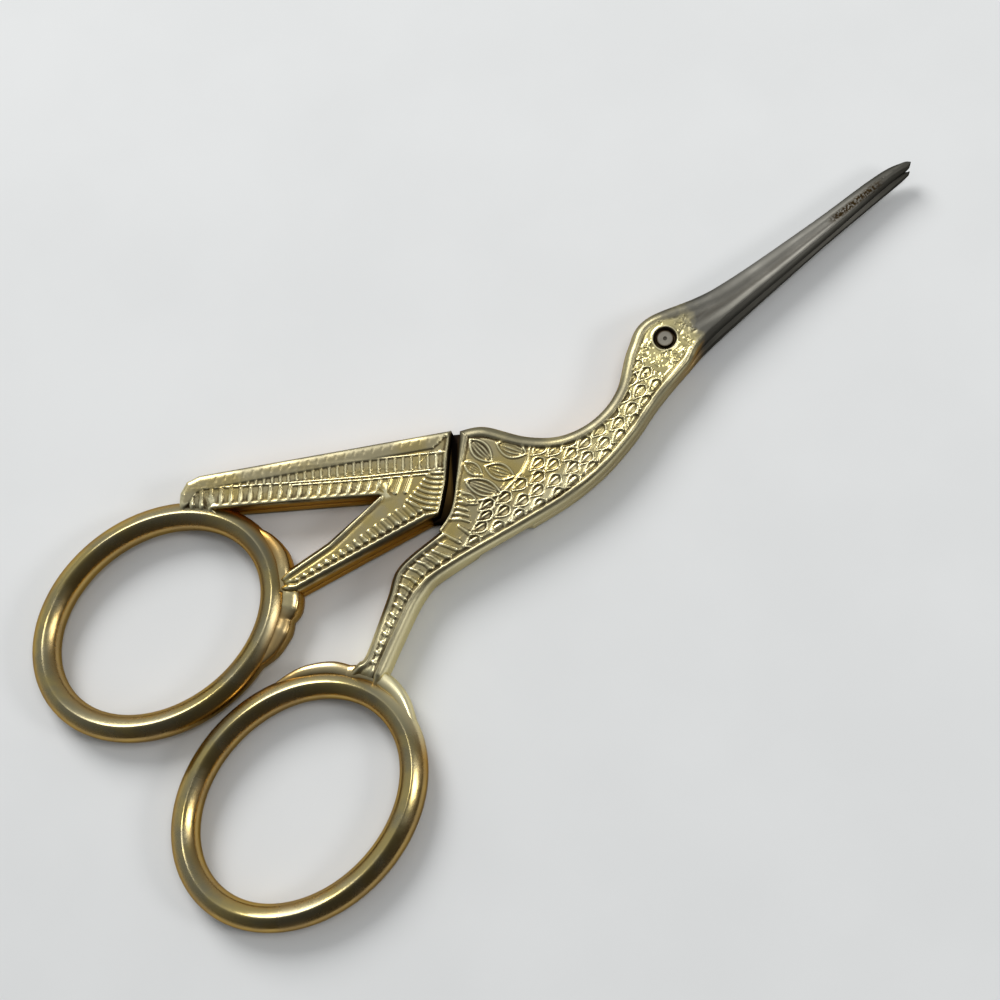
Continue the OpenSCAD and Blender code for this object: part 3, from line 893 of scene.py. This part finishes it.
def mended(obj, merge, holes=False):
    # welds the points and turns the faces outwards; a skin's small holes are filled
    bm = bmesh.new()
    bm.from_mesh(obj.data)
    bmesh.ops.remove_doubles(bm, verts=bm.verts, dist=merge)
    if holes:
        bmesh.ops.dissolve_degenerate(bm, dist=1e-8, edges=bm.edges)
        openEdges = [e for e in bm.edges if len(e.link_faces) == 1]
        bmesh.ops.holes_fill(bm, edges=openEdges, sides=12)
    bmesh.ops.recalc_face_normals(bm, faces=bm.faces)
    if not holes:
        for f in bm.faces:
            f.smooth = True
    bm.to_mesh(obj.data)
    bm.free()


for half in (frontSkin, rearSkin):
    heldIn(half)
    mended(half, 2e-7, holes=True)
print("stage: relief")


def ringTree():
    # an oval ring: the section object's outline carried round an ellipse
    gin, gout = geometryTree("ringBar", {
        "Section": ("Object",), "Size": ("Vector",), "Steps": ("Int", 180), "Turn": ("Vector",),
        "Middle": ("Vector",)})
    loop = geo("CurvePrimitiveCircle", Resolution=(gin, "Steps"), Radius=1.0)
    oval = geo("Transform", Geometry=(loop, 0), Scale=(gin, "Size"))
    info = geo("ObjectInfo", Object=(gin, "Section"))
    section = geo("MeshToCurve", Mesh=(info, "Geometry"))
    bar = geo("CurveToMesh", Curve=(oval, 0), **{"Profile Curve": (section, 0)})
    moved = geo("Transform", Geometry=(bar, 0), Translation=(gin, "Middle"), Rotation=(gin, "Turn"))
    return endTree(gin, gout, moved)


def sectionObject():
    # a quarter of the bar's outline from its widest place to its crest, mirrored twice
    quarter = [(1.55, 0, 0), (1.55, 0.35, 0), (1.46, 0.75, 0), (1.27, 1.1, 0), (1.0, 1.38, 0),
               (0.7, 1.62, 0), (0.4, 1.82, 0), (0.16, 1.95, 0), (0, 2.0, 0)]
    q = [row[:2] for row in smooth(quarter, 3)]
    top = q + [quarter[-1][:2]] + [(-x, y) for x, y in q[::-1]]
    full = top + [(x, -y) for x, y in top[::-1][1:-1]]
    n = len(full)
    return meshObject("ringSection", [(x, y, 0) for x, y in full], [(i, (i + 1) % n) for i in range(n)])


def shapedTube(points, widths, highs, sides=16, power=0.5):
    # a closed lump along the points: half width across, half height upwards, squarer than round
    p = np.array(points, float)
    verts, faces = [], []
    for i in range(len(p)):
        d = p[min(i + 1, len(p) - 1)] - p[max(i - 1, 0)]
        d = d / np.linalg.norm(d[:2])
        for k in range(sides):
            t = 2 * math.pi * k / sides
            c, s = math.cos(t), math.sin(t)
            w = widths[i] * math.copysign(abs(c) ** power, c)
            h = highs[i] * math.copysign(abs(s) ** power, s)
            verts.append((p[i][0] - w * d[1], p[i][1] + w * d[0], p[i][2] + h))
    n = len(p)
    for i in range(n - 1):
        for k in range(sides):
            a, b = i * sides + k, i * sides + (k + 1) % sides
            faces.append((a, b, b + sides, a + sides))
    faces += [tuple(range(sides))[::-1], tuple((n - 1) * sides + k for k in range(sides))]
    return verts, faces


def toePiece(name, side):
    verts, faces = [], []
    for toe in toes[side]:
        rows = [ringPoint(side, t, out) + (z, w, h) for t, out, z, w, h in toe]
        rows = smooth(rows + rows[-1:], 6) + rows[-1:]
        v, f = shapedTube([r[:3] for r in rows], [r[3] for r in rows], [r[4] for r in rows])
        faces += [tuple(i + len(verts) for i in face) for face in f]
        verts += v
    obj = meshObject(name, verts, (), faces)
    obj.data.materials.append(gilt)
    mended(obj, 1e-8)
    return obj


section = sectionObject()
barTree = ringTree()
rings = {}
for side, name in ((1, "upperRing"), (-1, "lowerRing")):
    rings[side] = meshObject(name, [(0, 0, 0)])
    applyTree(rings[side], barTree, Section=section, Steps=ring["steps"], Finish=gilt,
              Size=(ring["a"] * mm, ring["b"] * mm, 1), Turn=(0, 0, -side * math.radians(ring["turn"])),
              Middle=(-ring["x"] * mm, side * ring["y"] * mm, mid * mm))
    mended(rings[side], 1e-8)
bpy.data.objects.remove(section)

# toes: degrees round the ring, distance outside its middle line, height, half width and half height
toes = {
    1: [[(-66, 0.9, 2.1, 0.3, 0.9), (-56, 1.5, 2.1, 0.8, 1.3), (-46, 1.8, 2.1, 1.0, 1.5),
         (-40, 1.75, 2.1, 0.95, 1.35), (-35, 2.1, 2.2, 1.2, 1.6), (-29, 2.1, 2.2, 1.2, 1.65),
         (-22, 1.5, 2.2, 0.8, 1.4)],
        [(-28, 1.5, 2.2, 0.8, 1.5), (-17, 1.55, 2.2, 0.9, 1.6), (-8, 1.6, 2.2, 0.9, 1.5),
         (2, 1.3, 2.2, 0.7, 1.35), (14, 0.8, 2.1, 0.3, 1.0)]],
    -1: [[(-68, 0.9, 2.1, 0.3, 0.9), (-57, 1.3, 2.1, 0.6, 1.35), (-48, 1.6, 2.1, 0.75, 1.55),
          (-36, 1.7, 2.1, 0.85, 1.65), (-24, 1.4, 2.2, 0.8, 1.5)],
         [(-30, 1.4, 2.2, 0.8, 1.5), (-19, 1.9, 2.2, 1.0, 1.7), (-9, 1.9, 2.2, 0.95, 1.65),
          (2, 1.5, 2.1, 0.75, 1.5), (20, 0.9, 2.1, 0.3, 1.05)]],
}
toePieces = {side: toePiece(name, side) for side, name in ((1, "upperToes"), (-1, "lowerToes"))}
print("stage: rings and toes")


def hollowTree():
    # stores how hollow (+) or how raised (-) the surface is, for the finish to follow
    gin, gout = geometryTree("hollowMask", {"Spread": ("Int", 5), "Unit": ("Float", 0.00003)})
    here = geo("InputPosition").outputs[0]
    soft = geo("BlurAttribute", {"data_type": "FLOAT_VECTOR"}, Value=here, Iterations=(gin, "Spread"))
    facing = vector("DOT_PRODUCT", (vector("SUBTRACT", (soft, 0), here), 0), (geo("InputNormal"), 0))
    kept = geo("StoreNamedAttribute", {"data_type": "FLOAT", "domain": "POINT"}, Name="hollow",
               Geometry=(gin, "Geometry"), Value=blend("DIVIDE", facing.outputs[1], (gin, "Unit"), False))
    return endTree(gin, gout, kept)


maskTree = hollowTree()
for piece in (frontSkin, rearSkin, rings[1], rings[-1], toePieces[1], toePieces[-1]):
    applyTree(piece, maskTree, Spread=5, Unit=0.03 * mm, Finish=gilt)
print("stage: masks")

finish = {
    "rich": (0.48, 0.275, 0.07), "gold": (0.52, 0.405, 0.15), "paleGold": (0.66, 0.575, 0.27),
    "pale": (0.87, 0.79, 0.49), "nickel": (0.33, 0.285, 0.165),
    "bare": (0.185, 0.165, 0.105), "wall": (0.40, 0.335, 0.20),
    "steel": (0.125, 0.12, 0.102), "paleSteel": (0.22, 0.21, 0.185),
    "darkSteel": (0.055, 0.052, 0.043), "eye": (0.30, 0.27, 0.22),
    # the two darkest colours: grime with painted shade for the hollows, and painted shade for the joint and
    # the eye
    "grime": (0.045, 0.028, 0.01), "soot": (0.012, 0.008, 0.006), "white": (1, 1, 1),
    "paperLow": (0.715, 0.72, 0.715), "paperHigh": (0.74, 0.745, 0.74),
    "skyLow": (0.10, 0.095, 0.09), "skyHigh": (0.93, 0.97, 1.0),
}
# where a finish changes: from one place or value to another, and what it is at each, in metres
change = {
    "dirtAndShade": (0.15, 1.5, 0, 1), "uneven": (0.3, 0.65, 0.45, 1), "raised": (-0.3, -1.8, 0, 1),
    "inwards": (0.00185, 0.0012, 0, 1), "goldToNickel": (0.38, 0.62, 0, 1),
    "barePatches": (0.3, 0.6, 0.65, 1), "bareAtRings": (-0.053, -0.048, 0.3, 1),
    "towardsHead": (-0.024, -0.004, 0, 0.8), "lowSide": (-0.0032, -0.0048, 0, 0.95),
    "offRings": (-0.051, -0.048, 0, 1), "shin": (-0.006, -0.038, 0.25, 1),
    "underFace": (0.0044, 0.0041, 0, 1), "amberReflectionAtRings": (-0.053, -0.049, 0.5, 1),
    "steelFrom": (0.0006, 0.0046, 0, 1), "darkTip": (0.024, 0.034, 0, 0.85),
    "darkRoot": (0.016, 0.003, 0, 0.6), "bladesMeet": (0.0013, 0.0004, 0, 0.75),
    "pitLine": (0.00015, 0.0006, 1, 0), "pitsFrom": (0.0225, 0.0245, 0, 1),
    "pitsTo": (0.0295, 0.0315, 1, 0), "pitGrain": (0.42, 0.52, 0, 1), "rough": (0.3, 0.7, 0.2, 0.34),
    "smootherRings": (-0.048, -0.053, 0, 0.06), "eyeRim": (0.00072, 0.0009, 0, 0.85),
    "eyeRough": (0.3, 0.7, 0.35, 0.55), "paper": (0.3, 0.7, 0, 1), "sky": (-0.7, 0.9, 0, 1),
}
worn = {
    "rub": 0.85, "brushed": (0.06, 1, 1), "brushScale": 2600.0, "pitScale": 3800.0, "turnScale": 2200.0,
    "unevenEdge": 0.012, "pitX": 0.0235, "pitY": 0.00175, "pitSlant": 0.03, "cleanSteel": 0.7,
    "tint": 0.28, "steelRough": 0.18, "bareRough": 0.1, "dirtAndShadeRough": 0.3, "brushHeight": 0.8,
    "bump": 0.25, "bumpDeep": 0.00005,
}


def mix(factor, a, b):
    # a and b are names of finishes, or sockets
    m = shade("Mix", {"data_type": "RGBA"}, i0=factor)
    for socket, value in ((m.inputs[6], a), (m.inputs[7], b)):
        feed(socket, (*finish[value], 1) if isinstance(value, str) else value)
    return m.outputs[2]


def ramp(source, name, form="SMOOTHSTEP"):
    m = shade("MapRange", {"interpolation_type": form}, Value=source)
    for label, value in zip(("From Min", "From Max", "To Min", "To Max"), change[name]):
        m.inputs[label].default_value = value
    return m.outputs[0]


# shader groups, each built once and placed with its own values
def grainGroup():
    gin, gout = newTree("metalGrain", {"Vector": ("Vector",), "Scale": ("Float", 900.0)},
                        {"Height": ("Float",), "Patches": ("Float",)})
    fine = shade("TexNoise", Vector=(gin, "Vector"), Scale=(gin, "Scale"), Detail=6.0, Roughness=0.6)
    wide = times((gin, "Scale"), 0.22, False)
    broad = shade("TexNoise", Vector=(gin, "Vector"), Scale=wide, Detail=4.0, Roughness=0.55)
    feed(gout.inputs["Height"], fine.outputs[0])
    feed(gout.inputs["Patches"], broad.outputs[0])
    return work["tree"]


def wearAndShadeGroup():
    gin, gout = newTree("wornPlatingAndShade", {
        "Hollow": ("Float", 0.0), "Patches": ("Float", 0.5), "Rub": ("Float", 0.5)},
        {"Grime": ("Float",), "Rubbed": ("Float",)})
    uneven = ramp((gin, "Patches"), "uneven", "LINEAR")
    # the hollows darken: partly real grime, partly painted shade
    feed(gout.inputs["Grime"], times(ramp((gin, "Hollow"), "dirtAndShade"), uneven))
    feed(gout.inputs["Rubbed"], times(ramp((gin, "Hollow"), "raised"), (gin, "Rub")))
    return work["tree"]


grain, wearAndShade = grainGroup(), wearAndShadeGroup()


def group(made, **values):
    return shade("Group", {"node_tree": made}, **values)


def metalMaterial(mat):
    mat.use_nodes = True
    work["tree"] = mat.node_tree
    mat.node_tree.nodes.clear()
    coords = shade("TexCoord").outputs["Object"]
    x, y, z = shade("SeparateXYZ", Vector=coords).outputs
    hollow, paintedShadeMask, field = [shade("Attribute", {"attribute_name": name}).outputs["Fac"]
                            for name in ("hollow", "soot", "faceMask")]
    g = group(grain, Vector=coords)
    patches = g.outputs["Patches"]
    w = group(wearAndShade, Hollow=hollow, Patches=patches, Rub=worn["rub"])
    # brushed along the blades
    stretch = shade("Mapping", Vector=coords, Scale=worn["brushed"])
    brushed = group(grain, Vector=stretch.outputs[0], Scale=worn["brushScale"])
    fromMiddle = unsigned(minus(z, mid * mm))
    depth = ramp(fromMiddle, "inwards")
    base = mix(ramp(patches, "goldToNickel"), "gold", "nickel")
    # bare nickel on the rims and bands outside the worked field
    bare = times(rest(unsigned(field)), ramp(patches, "barePatches"))
    bare = times(bare, ramp(x, "bareAtRings"))
    base = mix(ramp(x, "towardsHead"), base, "paleGold")
    base = mix(bare, base, "bare")
    # painted light: the low side of neck and leg is painted paler than the other walls
    low = times(ramp(y, "lowSide"), ramp(x, "offRings"))
    shin = times(low, ramp(x, "shin"))
    rich = mix(shin, mix(low, "rich", "wall"), "pale")
    base = mix(times(shin, ramp(z, "underFace")), base, "pale")
    # painted reflection: the walls near the middle take the amber colour, less of it near the rings
    base = mix(times(depth, ramp(x, "amberReflectionAtRings")), base, rich)
    rubbed = times(times(w.outputs["Rubbed"], rest(depth)), rest(bare))
    base = mix(rubbed, base, "pale")
    edge = plus(x, times(minus(patches, 0.5), worn["unevenEdge"], False), False)
    steelMask = ramp(edge, "steelFrom")
    steel = mix(brushed.outputs["Patches"], "steel", "paleSteel")
    # darker at the tip and at the root, and painted shade where the two blades meet
    for dark in (ramp(x, "darkTip"), ramp(x, "darkRoot"), ramp(fromMiddle, "bladesMeet")):
        steel = mix(dark, steel, "darkSteel")
    base = mix(steelMask, base, steel)
    # rust pits near the beak's tip, in a thin line along the valley
    slant = times(minus(x, worn["pitX"]), worn["pitSlant"], False)
    line = unsigned(plus(plus(y, worn["pitY"], False), slant, False))
    near = times(ramp(line, "pitLine"), times(ramp(x, "pitsFrom"), ramp(x, "pitsTo")))
    small = group(grain, Vector=coords, Scale=worn["pitScale"])
    pits = times(near, ramp(small.outputs["Height"], "pitGrain"))
    # grime and painted shade in the hollows, less of it on the steel
    grime = times(w.outputs["Grime"], rest(times(steelMask, worn["cleanSteel"])))
    dirtAndShade = blend("MAXIMUM", grime, pits)
    # painted shade in the joint and round the eye, over the grime and painted shade of the hollows
    base = mix(paintedShadeMask, mix(dirtAndShade, base, "grime"), "soot")
    rough = minus(ramp(patches, "rough"), ramp(x, "smootherRings"), True)
    rough = plus(rough, times(steelMask, worn["steelRough"]))
    rough = plus(rough, times(bare, worn["bareRough"]))
    rough = plus(rough, times(blend("MAXIMUM", dirtAndShade, paintedShadeMask), worn["dirtAndShadeRough"]))
    height = plus(times(g.outputs["Height"], rest(steelMask)),
                  times(brushed.outputs["Height"], times(steelMask, worn["brushHeight"])), False)
    bump = shade("Bump", Strength=worn["bump"], Distance=worn["bumpDeep"], Height=height)
    metal = shade("BsdfPrincipled", Metallic=1.0, Roughness=rough, Normal=(bump, 0),
                **{"Base Color": base, "Specular Tint": mix(worn["tint"], base, "white")})
    shade("OutputMaterial", Surface=(metal, 0))


def screwMaterial():
    mat = bpy.data.materials.new("turnedSteel")
    mat.use_nodes = True
    work["tree"] = mat.node_tree
    metal = mat.node_tree.nodes["Principled BSDF"]
    metal.inputs["Metallic"].default_value = 1.0
    coords = shade("TexCoord").outputs["Object"]
    g = group(grain, Vector=coords, Scale=worn["turnScale"])
    # painted shadow: darker towards the rim of the end that shows as the eye, where the gap round it is
    radius = vector("LENGTH", (vector("MULTIPLY", coords, (1, 1, 0)), 0))
    base = mix(g.outputs["Patches"], "steel", "eye")
    feed(metal.inputs["Base Color"], mix(ramp((radius, "Value"), "eyeRim"), base, "grime"))
    feed(metal.inputs["Roughness"], ramp((g, "Height"), "eyeRough"))
    return mat


metalMaterial(gilt)
turned = screwMaterial()
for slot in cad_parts["pivot_screw"].material_slots:
    slot.material = turned
print("stage: finishes")

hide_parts("front_half")
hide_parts("rear_half")
for piece in (frontSkin, rings[-1], toePieces[-1]):
    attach(piece, "front")
for piece in (rearSkin, rings[1], toePieces[1]):
    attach(piece, "rear")

# paper, light and camera
setting = {
    "cameraAt": (-38.1, -51.8, 193.0), "lookAt": (-25.84, -1.0, 0), "turn": 39.59, "lens": 63.0,
    "nearest": 0.005, "paperHalf": 2000, "paperZ": -0.02, "paperScale": 45.0, "paperRough": 0.9,
    "paperShine": 0.25, "middle": (-20, 3, 0), "lampUp": (0.1, 0.9, 0.1), "sky": 0.6,
    # the sky is brightest up the picture and to its left
    "skyUp": 0.75, "skyLeft": 0.5, "skyHigh": 0.2,
}


def paperSheet():
    h, z = setting["paperHalf"], setting["paperZ"]
    obj = meshObject("paperSheet", [(-h, -h, z), (h, -h, z), (h, h, z), (-h, h, z)], (), [(0, 1, 2, 3)])
    mat = bpy.data.materials.new("paper")
    mat.use_nodes = True
    work["tree"] = mat.node_tree
    shader = mat.node_tree.nodes["Principled BSDF"]
    coords = shade("TexCoord")
    noise = shade("TexNoise", Vector=(coords, "Object"), Scale=setting["paperScale"],
                Detail=5.0)
    paleness = ramp((noise, 0), "paper")
    feed(shader.inputs["Base Color"], mix(paleness, "paperLow", "paperHigh"))
    shader.inputs["Roughness"].default_value = setting["paperRough"]
    shader.inputs["Specular IOR Level"].default_value = setting["paperShine"]
    obj.data.materials.append(mat)


paperSheet()


def aim(obj, at, target, up):
    z = (Vector(at) - Vector(target)).normalized()
    x = Vector(up).cross(z).normalized()
    y = z.cross(x)
    obj.matrix_world = Matrix.Translation(Vector(at) * mm) @ Matrix((x, y, z)).transposed().to_4x4()


turn = math.radians(setting["turn"])
pictureUp = Vector((math.sin(turn), math.cos(turn), 0))
pictureRight = Vector((math.cos(turn), -math.sin(turn), 0))
camera = placed("camera", bpy.data.cameras.new("camera"))
camera.data.lens = setting["lens"]
camera.data.clip_start = setting["nearest"]
aim(camera, setting["cameraAt"], setting["lookAt"], pictureUp)
scene.camera = camera

# each lamp: how far right, up and high in the picture's directions, its size and its power
lamps = {
    "window": ((-260, 420, 420), 340, 2.85),
    "ceiling": ((200, 40, 640), 200, 0.7),
    "side": ((420, -60, 300), 140, 0.5),
}
middle = Vector(setting["middle"])
for name, ((right, up, high), size, power) in lamps.items():
    light = bpy.data.lights.new(name, "AREA")
    light.shape = "DISK"
    light.size = size * mm
    light.energy = power
    at = middle + pictureRight * right + pictureUp * up + Vector((0, 0, high))
    aim(placed(name, light), at, middle, setting["lampUp"])

world = bpy.data.worlds.new("room")
scene.world = world
world.use_nodes = True
work["tree"] = world.node_tree
sky = world.node_tree.nodes["Background"]
bright = pictureUp * setting["skyUp"] - pictureRight * setting["skyLeft"] + Vector((0, 0, setting["skyHigh"]))
facing = vector("DOT_PRODUCT", (shade("TexCoord"), "Generated"), bright)
share = ramp((facing, "Value"), "sky")
feed(sky.inputs[0], mix(share, "skyLow", "skyHigh"))
sky.inputs[1].default_value = setting["sky"]
scene.view_settings.view_transform = "Standard"
print("stage: light and camera")
